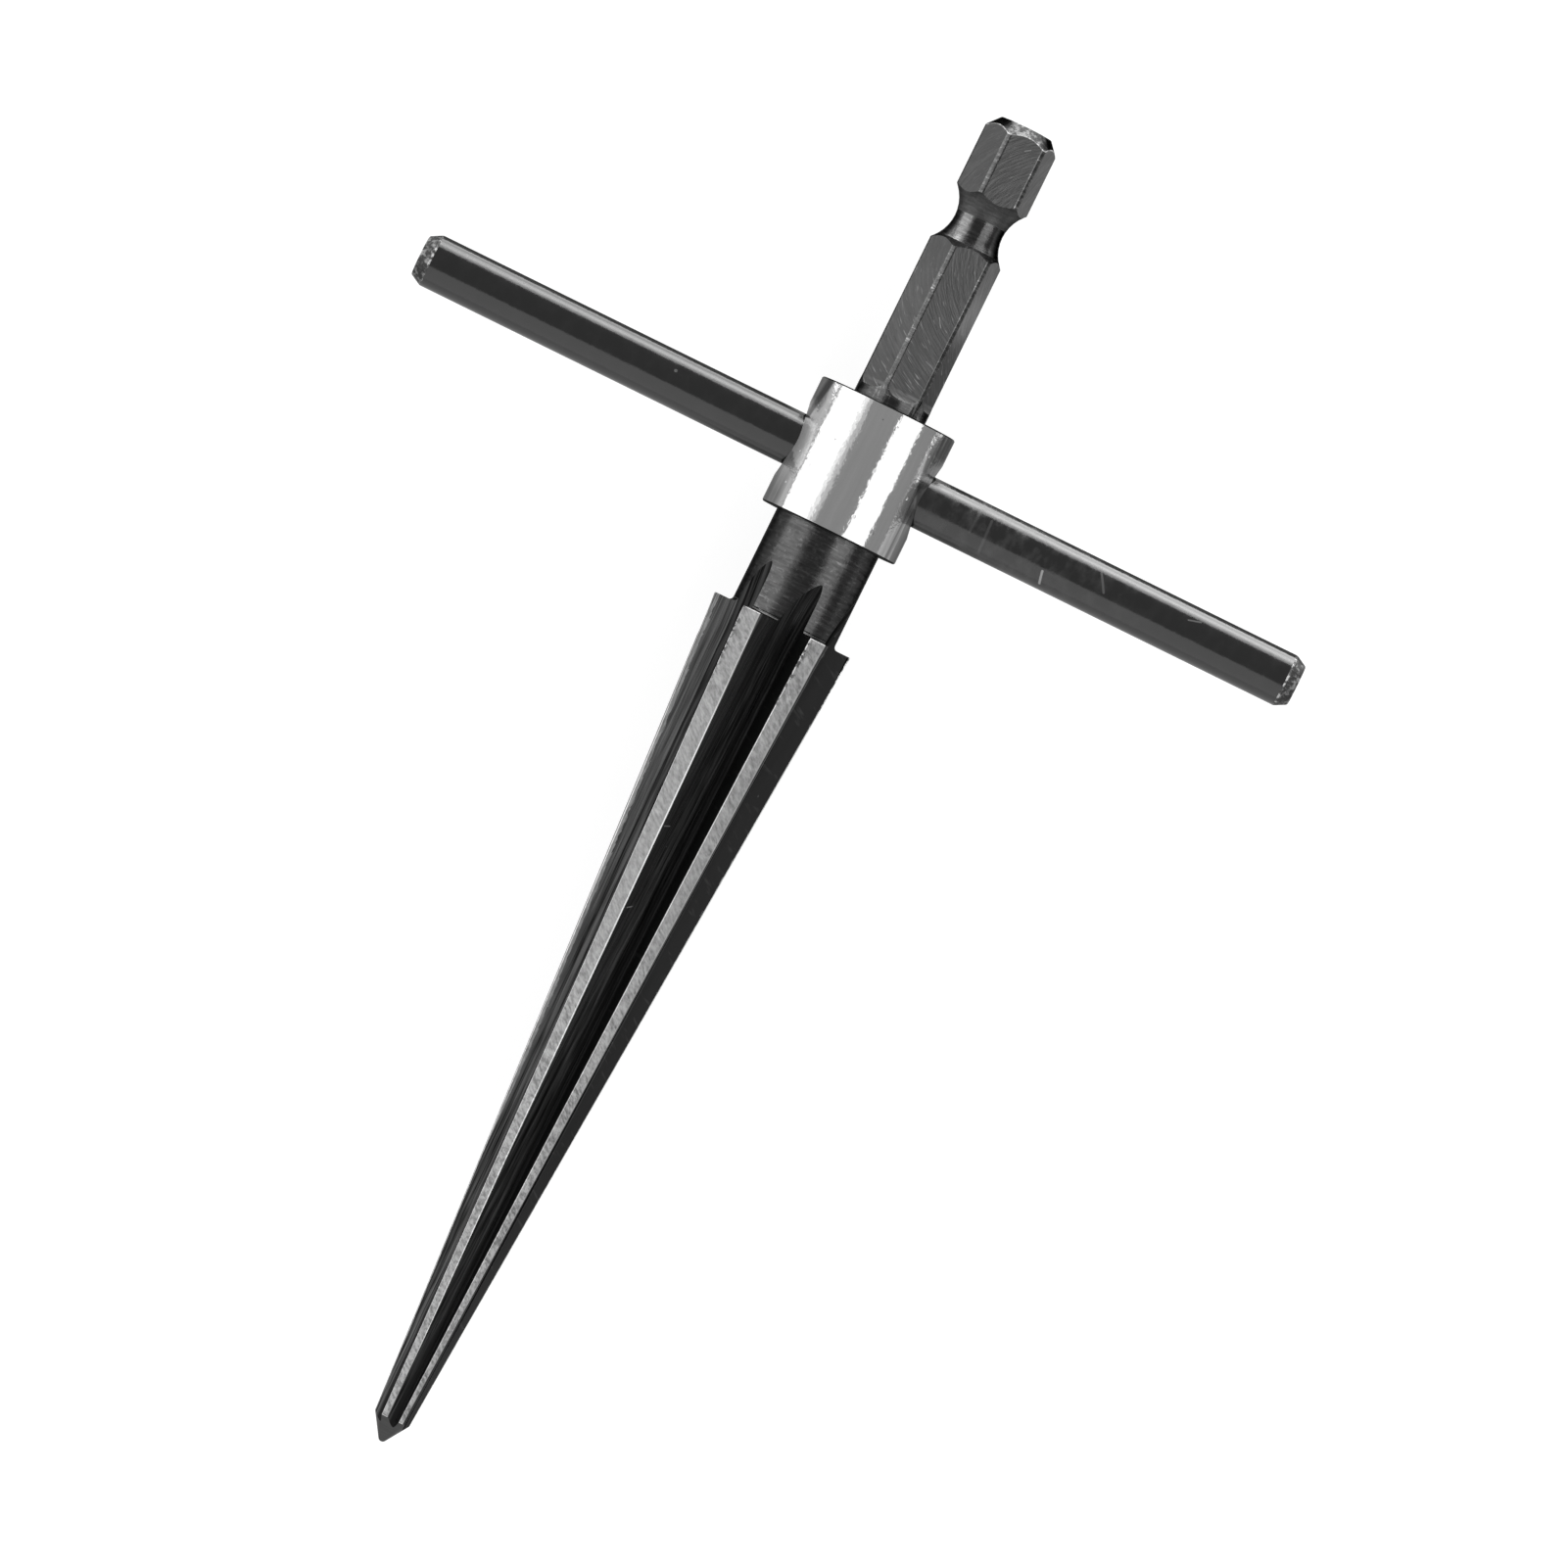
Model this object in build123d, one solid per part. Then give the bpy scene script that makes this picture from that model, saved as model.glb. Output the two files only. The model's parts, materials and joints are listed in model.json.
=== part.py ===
from build123d import *
import os
from math import acos, cos, degrees, radians, sin, tan

# A hand taper reamer for round holes in sheet and thin stock, with a hex shank and a cross bar.
# It is three pieces: one turned, fluted and milled body, a bright collar seated on the body's
# shoulder, and a plain bar pressed through both.
# Each piece is drawn upright about the Z axis, with its point down and its front towards -Y.
# At the end all three are laid down with their front up, as the tool lies on a bench.
# Sizes are in millimetres and angles in degrees.

# Point
point_angle = 66.0
point_round = 0.4

# Tapered cutting part, with its diameters measured across the lands
small_end_dia = 3.45
big_end_dia = 13.6
taper_length = 79.7
step_round = 0.4

# Flutes, cut by one disc cutter, so that their floor keeps its width and only their depth changes
flute_count = 6
first_edge_angle = 24.5
face_lean = 6.1
small_end_depth = 0.42
big_end_depth = 2.69
floor_angle = 91.3
floor_width = 2.2
heel_angle = 167.7
root_round = 0.5
cutter_radius = 38.0
cutter_stop = 4.2

# Neck between the flutes and the collar
neck_dia = 10.2
neck_length = 9.3

# Spigot that the collar sits on
spigot_dia = 9.0
spigot_drop = 0.2
spigot_chamfer = 0.3

# Collar
collar_dia = 13.3
collar_length = 12.45
collar_edge_chamfer = 0.12
bore_chamfer = 0.25
cross_hole_clearance = 0.1
countersink_dia = 7.3
countersink_angle = 146.0

# Cross bar
bar_dia = 5.0
bar_length = 88.0
bar_chamfer_length = 1.1
bar_chamfer_depth = 0.6

# Shank
shank_dia = 7.1
shank_length = 28.1
hex_across_flats = 6.35
hex_turn = 10.9
round_stretch = 0.73
flat_end_radius = 1.1
shank_chamfer_length = 1.24
shank_end_dia = 4.95

# Detent groove in the shank
groove_from_end = 9.8
groove_dia = 4.77
groove_radius = 3.7

# How far the solids that cut reach past what they cut
past = 3.0

# Heights along the axis, counted from the tip of the point
half_point = radians(point_angle / 2)
nose_end = point_round * (1 - sin(half_point))
small_end = nose_end + (small_end_dia / 2 - point_round * cos(half_point)) / tan(half_point)
step = small_end + taper_length
shoulder = step + neck_length
bar_height = shoulder + collar_length / 2
collar_top = shoulder + collar_length
spigot_top = collar_top - spigot_drop
flats_end = collar_top + round_stretch
shank_end = collar_top + shank_length
groove_height = shank_end - groove_from_end


def land_radius(height):
    """Radius across the lands at a height on the taper."""
    growth = (big_end_dia - small_end_dia) / 2 / taper_length
    return small_end_dia / 2 + growth * (height - small_end)


def from_front(angle):
    """The turn that carries what points along +X to an angle counted to the right of the front."""
    return Rot(0, 0, angle - 90)


def spin(half_section):
    """Solid of revolution about Z from a half section drawn with radius along X and height along Y."""
    return revolve(Plane.XZ * half_section, Axis.Z)


def turned_blank():
    """The body as it leaves the lathe: point, taper, step, neck, spigot and round shank."""
    nose_turn = (90 - point_angle / 2) / 2
    nose_middle = (point_round * sin(radians(nose_turn)), point_round * (1 - cos(radians(nose_turn))))
    nose = ThreePointArc((0, 0), nose_middle, (point_round * cos(half_point), nose_end))
    outline = Polyline(
        nose @ 1,
        (small_end_dia / 2, small_end),
        (big_end_dia / 2, step),
        (neck_dia / 2, step),
        (neck_dia / 2, shoulder),
        (spigot_dia / 2, shoulder),
        (spigot_dia / 2, spigot_top - spigot_chamfer),
        (spigot_dia / 2 - spigot_chamfer, spigot_top),
        (shank_dia / 2, spigot_top),
        (shank_dia / 2, shank_end - shank_chamfer_length),
        (shank_end_dia / 2, shank_end),
        (0, shank_end),
        (0, 0),
    )
    half_section = make_face([nose, outline])
    inner_corner = half_section.vertices().sort_by_distance((neck_dia / 2, step, 0))[0]
    return spin(fillet(inner_corner, step_round))


def flute_section(height):
    """Closed section of the flute cutter at a height on the taper, with its cutting edge on +X.

    Its corners run from the cutting edge down the cutting face to the root, along the floor, and
    up the heel face, which ends the land before it. It reaches past the lands at both ends.
    """
    size = land_radius(height) / (big_end_dia / 2)
    depth_growth = (big_end_depth - small_end_depth) / taper_length
    depth = small_end_depth + depth_growth * (height - small_end)
    face_turn = radians(face_lean)
    floor_turn = radians(floor_angle - 90 - face_lean)
    heel_turn = floor_turn - radians(180 - heel_angle)
    edge = Vector(land_radius(height), 0)
    root = edge - Vector(cos(face_turn), sin(face_turn)) * depth
    floor_end = root - Vector(sin(floor_turn), cos(floor_turn)) * floor_width
    outside_heel = floor_end - Vector(sin(heel_turn), cos(heel_turn)) * big_end_dia / 2
    outside_edge = edge + (edge - root).normalized() * past * size
    section = make_face(Polyline(outside_edge, root, floor_end, outside_heel, close=True))
    root_corner = section.vertices().sort_by_distance(root)[0]
    return fillet(root_corner, root_round * size), edge, root


def flute_cutter():
    """What a disc cutter takes away for one flute: the tapered cut and the arc where it leaves."""
    stop = step - cutter_stop
    low_section, _, _ = flute_section(0)
    top_section, edge, root = flute_section(stop)
    taper_cut = loft([low_section.face(), Pos(0, 0, stop) * top_section.face()], ruled=True)
    along_face = (edge - root).normalized()
    disc_centre = root + along_face * cutter_radius + Vector(0, 0, stop)
    disc_axis = Axis(disc_centre, Vector(0, 0, 1).cross(along_face))
    lift_out = neck_dia / 2 - root.length + step_round
    leaving_angle = degrees(acos(1 - lift_out / cutter_radius))
    leaving_cut = revolve(Pos(0, 0, stop) * top_section.face(), disc_axis, leaving_angle)
    return taper_cut + leaving_cut


def flat_cutter():
    """What is milled off the shank for one hex flat, with the cutter's corner round at its end."""
    flat = hex_across_flats / 2
    outside = shank_dia / 2 + past
    profile = make_face(
        Polyline(
            (flat, flats_end),
            (outside, flats_end),
            (outside, shank_end + past),
            (flat, shank_end + past),
            close=True,
        )
    )
    corner = profile.vertices().sort_by_distance((flat, flats_end, 0))[0]
    profile = Plane.XZ * fillet(corner, flat_end_radius)
    return extrude(profile, shank_dia / 2 + past, both=True)


def detent_groove():
    """Ring that a round-nosed tool turns out of the shank."""
    return Pos(0, 0, groove_height) * Torus(groove_dia / 2 + groove_radius, groove_radius)


def cross_drill(diameter):
    """Round hole through the axis at the bar's height."""
    return Pos(0, 0, bar_height) * Rot(0, 90, 0) * Cylinder(diameter / 2, collar_dia + 2 * past)


def reamer_body():
    """The one-piece tool: blank, six flutes, hex flats, detent groove and the bar's hole."""
    body = turned_blank()
    pitch = 360 / flute_count
    flute = flute_cutter()
    for place in range(flute_count):
        body -= from_front(first_edge_angle + place * pitch) * flute
    flat = flat_cutter()
    for place in range(6):
        body -= from_front(hex_turn + place * 60) * flat
    body -= detent_groove()
    return body - cross_drill(bar_dia)


def countersink():
    """Shallow cone that breaks the edge of the collar's cross hole, on the +X side."""
    reach = collar_dia / 2 + past
    side = radians(countersink_angle / 2)
    wide = countersink_dia / 2 + past * tan(side)
    depth = wide / tan(side)
    return Pos(reach - depth / 2, 0, bar_height) * Rot(0, 90, 0) * Cone(0, wide, depth)


def collar():
    """Turned ring that seats on the shoulder, with the cross hole for the bar."""
    half_section = Pos(collar_dia / 2, shoulder) * Rectangle(
        (collar_dia - spigot_dia) / 2, collar_length, align=(Align.MAX, Align.MIN)
    )
    outer_corners = half_section.vertices().group_by(Axis.X)[-1]
    half_section = chamfer(outer_corners, collar_edge_chamfer)
    bore_corners = half_section.vertices().group_by(Axis.X)[0]
    half_section = chamfer(bore_corners, bore_chamfer)
    ring = spin(half_section) - cross_drill(bar_dia + 2 * cross_hole_clearance)
    return ring - countersink() - Rot(0, 0, 180) * countersink()


def handle_bar():
    """Plain bar, centred on the axis, with a chamfer turned on each end."""
    half = bar_length / 2
    radius = bar_dia / 2
    end_radius = radius - bar_chamfer_depth
    chamfer_start = half - bar_chamfer_length
    half_section = make_face(
        Polyline(
            (0, -half),
            (end_radius, -half),
            (radius, -chamfer_start),
            (radius, chamfer_start),
            (end_radius, half),
            (0, half),
            close=True,
        )
    )
    return Pos(0, 0, bar_height) * Rot(0, 90, 0) * spin(half_section)


def laid_down(piece):
    """The piece as it lies, front up, shank towards +Y, with the collar on the ground."""
    return Pos(0, -shank_end / 2, collar_dia / 2) * Rot(-90, 0, 0) * piece


os.makedirs("parts", exist_ok=True)
export_step(laid_down(reamer_body()), "parts/reamer_body.step")
export_step(laid_down(collar()), "parts/collar.step")
export_step(laid_down(handle_bar()), "parts/handle_bar.step")
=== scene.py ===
import json
from math import atan2, ceil, cos, degrees, hypot, pi, radians, sin, tan

import bmesh
import bpy
from mathutils import Matrix, Vector

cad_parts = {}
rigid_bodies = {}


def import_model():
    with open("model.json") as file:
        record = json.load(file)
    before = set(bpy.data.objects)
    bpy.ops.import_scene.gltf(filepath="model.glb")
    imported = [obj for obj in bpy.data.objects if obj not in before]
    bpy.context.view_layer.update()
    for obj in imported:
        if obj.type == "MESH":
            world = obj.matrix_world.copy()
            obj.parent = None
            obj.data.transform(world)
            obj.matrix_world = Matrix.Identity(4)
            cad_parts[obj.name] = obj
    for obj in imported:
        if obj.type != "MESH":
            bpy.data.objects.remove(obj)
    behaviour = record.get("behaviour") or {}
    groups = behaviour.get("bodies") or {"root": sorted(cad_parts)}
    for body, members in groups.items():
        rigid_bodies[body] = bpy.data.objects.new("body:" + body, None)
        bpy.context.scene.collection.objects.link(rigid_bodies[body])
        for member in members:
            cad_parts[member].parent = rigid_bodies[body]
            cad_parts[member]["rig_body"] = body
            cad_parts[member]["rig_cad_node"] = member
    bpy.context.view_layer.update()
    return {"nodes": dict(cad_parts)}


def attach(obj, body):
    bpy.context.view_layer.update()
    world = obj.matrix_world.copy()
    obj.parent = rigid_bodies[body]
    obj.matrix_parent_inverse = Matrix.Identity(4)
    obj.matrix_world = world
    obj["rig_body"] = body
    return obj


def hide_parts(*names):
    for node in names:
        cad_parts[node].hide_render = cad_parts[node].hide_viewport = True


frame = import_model()

# The tool lies along Y with its shank toward +Y. These places are in millimetres, as in the CAD.
MM = 0.001
AXIS_HEIGHT = 6.65
TAPER_START = -63.614
STEP = 16.086
COLLAR_LOW = 25.386
COLLAR_TOP = 37.836
FLATS_START = 38.566
LAND_SMALL_RADIUS = 1.725
LAND_BIG_RADIUS = 6.8
FIRST_EDGE = radians(24.5)
FLUTE_PITCH = pi / 3
NECK_RADIUS = 5.1
SHANK_RADIUS = 3.55
FLAT_DISTANCE = 3.175
FLAT_PITCH = pi / 3
HEX_TURN = radians(10.9)
GROOVE_PLACE = 56.136
GROOVE_RING_RADIUS = 6.085
GROOVE_TOOL_RADIUS = 3.7
CHAMFER_START = 64.696
BAR_PLACE = 31.611
BAR_RADIUS = 2.5
COLLAR_RADIUS = 6.65
BAR_CHAMFER_START = 42.9

# How the photograph is framed: the view's centre on the tool, its width there, and the tool's lean
VIEW_CENTRE = (6.45, 3.28)
VIEW_WIDTH = 141.36
VIEW_LEAN = radians(26.2)
CAMERA_HEIGHT = 1200.0
SENSOR_WIDTH = 36.0

# How far past its cutting edge each land is ground bright: the left one at both its ends, and
# the right one
LEFT_LAND_AT_POINT = radians(20.5)
LEFT_LAND_AT_STEP = radians(16.3)
RIGHT_LAND = radians(14.6)

# How far the flutes' floors and their round roots reach from the next cutting edge
FLOOR_REACH = 2.45
ROOT_REACH = 0.5

# The centre of the milling cutter's arcs on each hex flat: its place across the flat and along
CUTTER_ACROSS = 7.4
CUTTER_ALONG = 55.5

# Scratches, each with its two ends on the unrolled surface, its width and its grey
HEEL_SCRATCHES = (
    ((-1.55, -4.85), (-1.1, -4.65), 0.07, 0.3),
    ((-1.32, -12.9), (-0.92, -12.6), 0.07, 0.35),
)
FLAT_SCRATCHES = (
    ((0.48, 47.07), (1.0, 46.3), 0.06, 0.16),
    ((1.2, 43.0), (2.35, 42.6), 0.06, 0.11),
    ((0.76, 63.9), (1.25, 64.2), 0.06, 0.13),
    ((0.6, 50.8), (1.42, 49.15), 0.09, 0.0),
    ((-2.07, 51.0), (-1.6, 50.1), 0.09, 0.0),
    ((-2.07, 48.8), (-1.6, 47.9), 0.09, 0.0),
)
BAR_SCRATCHES = (
    ((18.85, -0.9), (19.1, -2.3), 0.14, 0.28),
    ((23.7, 1.4), (24.65, -0.2), 0.14, 0.07),
    ((12.8, 1.2), (12.95, -2.2), 0.16, 0.035),
    ((11.5, 1.6), (11.4, -0.6), 0.16, 0.03),
    ((32.6, 1.0), (33.7, 1.35), 0.1, 0.1),
)

# The shared groups of shader nodes, by name
GROUPS = {}


def land_radius(along):
    """Radius across the lands at a place along the tool."""
    share = (along - TAPER_START) / (STEP - TAPER_START)
    return LAND_SMALL_RADIUS + share * (LAND_BIG_RADIUS - LAND_SMALL_RADIUS)


def fill_inputs(tree, node, values):
    """Sets the inputs of a node that are given, or links them."""
    for socket, value in values.items():
        if isinstance(value, bpy.types.NodeSocket):
            tree.links.new(value, node.inputs[socket])
        else:
            node.inputs[socket].default_value = value


def add_node(tree, kind, inputs, **settings):
    """Adds a node with its settings and fills its inputs."""
    node = tree.nodes.new(kind)
    for name, value in settings.items():
        setattr(node, name, value)
    fill_inputs(tree, node, inputs)
    return node


def maths(tree, operation, first, second=0.0, clamp=False):
    """A Math node's result."""
    settings = {"operation": operation, "use_clamp": clamp}
    return add_node(tree, "ShaderNodeMath", {0: first, 1: second}, **settings).outputs[0]


def product(tree, first, *others):
    """Numbers multiplied together."""
    for other in others:
        first = maths(tree, "MULTIPLY", first, other)
    return first


def total(tree, first, *others):
    """Numbers added up."""
    for other in others:
        first = maths(tree, "ADD", first, other)
    return first


def minus(tree, first, second):
    """The first number less the second."""
    return maths(tree, "SUBTRACT", first, second)


def hypotenuse(tree, first, second):
    """The long side of a right triangle with these two sides."""
    squares = total(tree, product(tree, first, first), product(tree, second, second))
    return maths(tree, "SQRT", squares)


def ramp(tree, value, low, high, start=0.0, end=1.0):
    """The value carried from low and high to start and end, and held there beyond them."""
    inputs = {"Value": value, "From Min": low, "From Max": high, "To Min": start, "To Max": end}
    return add_node(tree, "ShaderNodeMapRange", inputs).outputs[0]


def between(tree, value, start, full, fading, end):
    """A mask that is 1 from full to fading, and falls to 0 at start and at end."""
    return product(tree, ramp(tree, value, start, full), ramp(tree, value, end, fading))


def grey_mix(tree, share, first, second):
    """A grey between two greys, given as one number each or as colours that vary."""
    inputs = {0: share}
    for socket, grey in ((6, first), (7, second)):
        varies = isinstance(grey, bpy.types.NodeSocket)
        inputs[socket] = grey if varies else (grey, grey, grey, 1)
    return add_node(tree, "ShaderNodeMix", inputs, data_type="RGBA").outputs[2]


def vector_maths(tree, operation, first, second):
    """A Vector Math node's result, which is a number for a dot product or a distance."""
    node = add_node(tree, "ShaderNodeVectorMath", {0: first, 1: second}, operation=operation)
    return node.outputs[1 if operation in ("DOT_PRODUCT", "DISTANCE") else 0]


def scaled(tree, vector, factor):
    """A vector times a number."""
    inputs = {0: vector, 3: factor}
    return add_node(tree, "ShaderNodeVectorMath", inputs, operation="SCALE").outputs[0]


def split(tree, vector):
    """The three numbers of a vector."""
    return add_node(tree, "ShaderNodeSeparateXYZ", {0: vector}).outputs


def joined(tree, x, y, z=0.0):
    """A vector from three numbers."""
    return add_node(tree, "ShaderNodeCombineXYZ", {0: x, 1: y, 2: z}).outputs[0]


def noise(tree, vector, scale, detail, roughness):
    """A Noise Texture's value."""
    inputs = {"Vector": vector, "Scale": scale, "Detail": detail, "Roughness": roughness}
    return add_node(tree, "ShaderNodeTexNoise", inputs).outputs[0]


def object_place(tree):
    """Where a point lies on the object, in metres."""
    return add_node(tree, "ShaderNodeTexCoord", {}).outputs["Object"]


def place_from(tree, x, y, z):
    """The three distances of a point from a spot of the object, in millimetres."""
    inputs = {"Vector": object_place(tree), "Location": (-x, -y, -z), "Scale": (1 / MM,) * 3}
    return split(tree, add_node(tree, "ShaderNodeMapping", inputs).outputs[0])


def new_group(name, inputs, vectors=(), numbers=()):
    """Starts a shared group of nodes, whose inputs are vectors, given as None, or numbers.

    It gives the group, what its inputs bring in, and the node that its results go to.
    """
    tree = GROUPS[name] = bpy.data.node_groups.new(name, "ShaderNodeTree")
    for socket, value in inputs.items():
        kind = "NodeSocketVector" if value is None else "NodeSocketFloat"
        made = tree.interface.new_socket(socket, in_out="INPUT", socket_type=kind)
        if value is not None:
            made.default_value = value
    for kind, sockets in (("NodeSocketVector", vectors), ("NodeSocketFloat", numbers)):
        for socket in sockets:
            tree.interface.new_socket(socket, in_out="OUTPUT", socket_type=kind)
    return tree, tree.nodes.new("NodeGroupInput").outputs, tree.nodes.new("NodeGroupOutput")


def use_group(tree, name, inputs=None):
    """Places a shared group in a material, and gives its results."""
    return add_node(tree, "ShaderNodeGroup", inputs or {}, node_tree=GROUPS[name]).outputs


def round_the_tool():
    """Where a point lies on the turned work: unrolled round the tool's axis, in millimetres."""
    tree, _, out = new_group("round_the_tool", {}, ["Unrolled"], ["Along", "Angle", "Radius"])
    across, along, up = place_from(tree, 0, 0, AXIS_HEIGHT)
    angle = maths(tree, "ARCTAN2", across, up)
    radius = hypotenuse(tree, across, up)
    unrolled = joined(tree, product(tree, angle, radius), along, radius)
    results = {"Unrolled": unrolled, "Along": along, "Angle": angle, "Radius": radius}
    fill_inputs(tree, out, results)


def round_the_bar():
    """Where a point lies on the cross bar: unrolled round the bar's axis, in millimetres."""
    tree, _, out = new_group("round_the_bar", {}, ["Unrolled"])
    across, along, up = place_from(tree, 0, BAR_PLACE, AXIS_HEIGHT)
    round_it = product(tree, maths(tree, "ARCTAN2", along, up), BAR_RADIUS)
    fill_inputs(tree, out, {"Unrolled": joined(tree, across, round_it)})


def on_the_taper():
    """Where a point lies on the fluted taper.

    Share is its share of the land radius, Past edge its turn past a cutting edge, Across its
    distance across the flute from the next cutting edge in millimetres, and Cell the same place
    with its place along the tool and a number for its flute.
    """
    tree, _, out = new_group("on_the_taper", {}, ["Cell"], ["Share", "Past edge", "Across"])
    spot = use_group(tree, "round_the_tool")
    # The cone of the lands is carried on past the step, because a ramp is held beyond its ends.
    cone_end = STEP + 100
    lands = ramp(
        tree, spot["Along"], TAPER_START, cone_end, LAND_SMALL_RADIUS, land_radius(cone_end)
    )
    turned = minus(tree, spot["Angle"], FIRST_EDGE)
    past = maths(tree, "FLOORED_MODULO", turned, FLUTE_PITCH)
    flute = maths(tree, "FLOOR", maths(tree, "DIVIDE", turned, FLUTE_PITCH))
    before = maths(tree, "SINE", minus(tree, FLUTE_PITCH, past))
    across = product(tree, before, spot["Radius"])
    # Each flute's marks come from their own stretch of the noise.
    apart = product(tree, flute, 17.3)
    results = {
        "Cell": joined(tree, across, spot["Along"], apart),
        "Share": maths(tree, "DIVIDE", spot["Radius"], lands),
        "Past edge": past,
        "Across": across,
    }
    fill_inputs(tree, out, results)


def cut_marks():
    """Fine parallel marks, a spacing apart and so long, along the second axis before the turn."""
    inputs = {"Vector": None, "Spacing": 0.3, "Length": 4.0, "Turn": 0.0, "Detail": 2.0}
    tree, given, out = new_group("cut_marks", inputs, numbers=["Marks"])
    turning = {"Vector": given["Vector"], "Angle": given["Turn"]}
    turned = add_node(tree, "ShaderNodeVectorRotate", turning).outputs[0]
    across = maths(tree, "DIVIDE", 1.0, given["Spacing"])
    along = maths(tree, "DIVIDE", 1.0, given["Length"])
    stretched = vector_maths(tree, "MULTIPLY", turned, joined(tree, across, along, 0.4))
    grain = noise(tree, stretched, scale=1.0, detail=given["Detail"], roughness=0.6)
    fill_inputs(tree, out, {"Marks": ramp(tree, grain, 0.25, 0.75)})


def worn_patches():
    """Soft-edged patches of a size that cover a share of the surface."""
    inputs = {"Vector": None, "Size": 1.0, "Share": 0.3, "Softness": 0.1}
    tree, given, out = new_group("worn_patches", inputs, numbers=["Mask"])
    scale = maths(tree, "DIVIDE", 1.0, given["Size"])
    clouds = noise(tree, given["Vector"], scale=scale, detail=3.0, roughness=0.6)
    level = ramp(tree, given["Share"], 0.0, 1.0, 0.72, 0.3)
    top = total(tree, level, given["Softness"])
    fill_inputs(tree, out, {"Mask": ramp(tree, clouds, level, top)})


def scattered_specks():
    """Small round pits or bright dots, thinly scattered and of mixed sizes."""
    inputs = {"Vector": None, "Spacing": 2.0, "Size": 0.15}
    tree, given, out = new_group("specks", inputs, numbers=["Mask"])
    scale = maths(tree, "DIVIDE", 1.0, given["Spacing"])
    placing = {"Vector": given["Vector"], "Scale": scale}
    cells = add_node(tree, "ShaderNodeTexVoronoi", placing, feature="F1").outputs
    distance = product(tree, cells["Distance"], given["Spacing"])
    own_number = add_node(tree, "ShaderNodeSeparateColor", {0: cells["Color"]}).outputs[0]
    reach = product(tree, given["Size"], minus(tree, own_number, 0.35))
    steepness = 18.0
    mask = maths(tree, "MULTIPLY", minus(tree, reach, distance), steepness, clamp=True)
    fill_inputs(tree, out, {"Mask": mask})


def one_scratch():
    """One straight scratch between two spots of a flat or unrolled surface."""
    inputs = {"Vector": None, "Start": None, "End": None, "Width": 0.08}
    tree, given, out = new_group("one_scratch", inputs, numbers=["Mask"])
    level = vector_maths(tree, "MULTIPLY", given["Vector"], (1, 1, 0))
    offset = vector_maths(tree, "SUBTRACT", level, given["Start"])
    run = vector_maths(tree, "SUBTRACT", given["End"], given["Start"])
    along = vector_maths(tree, "DOT_PRODUCT", offset, run)
    whole = vector_maths(tree, "DOT_PRODUCT", run, run)
    share = maths(tree, "DIVIDE", along, whole, clamp=True)
    gap = vector_maths(tree, "DISTANCE", offset, scaled(tree, run, share))
    depth = minus(tree, 1.0, maths(tree, "DIVIDE", gap, given["Width"]))
    fill_inputs(tree, out, {"Mask": maths(tree, "MULTIPLY", depth, 2.0, clamp=True)})


round_the_tool()
round_the_bar()
on_the_taper()
cut_marks()
worn_patches()
scattered_specks()
one_scratch()


def marks(tree, vector, spacing, length, turn=0, detail=2.0):
    """Fine marks, a spacing apart and so long, turned by an angle in degrees."""
    inputs = {
        "Vector": vector,
        "Spacing": spacing,
        "Length": length,
        "Turn": radians(turn),
        "Detail": detail,
    }
    return use_group(tree, "cut_marks", inputs)[0]


def patches(tree, vector, size, share, softness):
    """A mask of soft-edged patches."""
    inputs = {"Vector": vector, "Size": size, "Share": share, "Softness": softness}
    return use_group(tree, "worn_patches", inputs)[0]


def specks(tree, vector, spacing, size):
    """A mask of small round specks."""
    return use_group(tree, "specks", {"Vector": vector, "Spacing": spacing, "Size": size})[0]


def scratched(tree, place, tone, scratches):
    """A tone with straight scratches over it."""
    for start, end, width, grey in scratches:
        ends = {"Vector": place, "Start": (*start, 0), "End": (*end, 0), "Width": width}
        tone = grey_mix(tree, use_group(tree, "one_scratch", ends)[0], tone, grey)
    return tone


# In the finishes below, a ramp over along counts millimetres along the tool, from the middle
# toward the shank, an angle counts to the right of straight up, and a grey runs from 0 to 1.


def start_material(name, metallic, ior, tint=1.0):
    """A material whose even numbers are set on its own Principled shader, and its nodes."""
    material = bpy.data.materials.new(name)
    material.use_nodes = True
    tree = material.node_tree
    even = {"Metallic": metallic, "IOR": ior, "Specular Tint": (tint, tint, tint, 1)}
    fill_inputs(tree, tree.nodes["Principled BSDF"], even)
    return material, tree


def finished(material, tone, roughness, relief=None, depth=0.0):
    """The material with its colour, its roughness and a fine relief, so many millimetres deep."""
    tree = material.node_tree
    varying = {"Base Color": tone, "Roughness": roughness}
    if relief is not None:
        bump = add_node(tree, "ShaderNodeBump", {"Height": relief, "Distance": depth * MM})
        varying["Normal"] = bump.outputs[0]
    fill_inputs(tree, tree.nodes["Principled BSDF"], varying)
    return material


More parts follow.
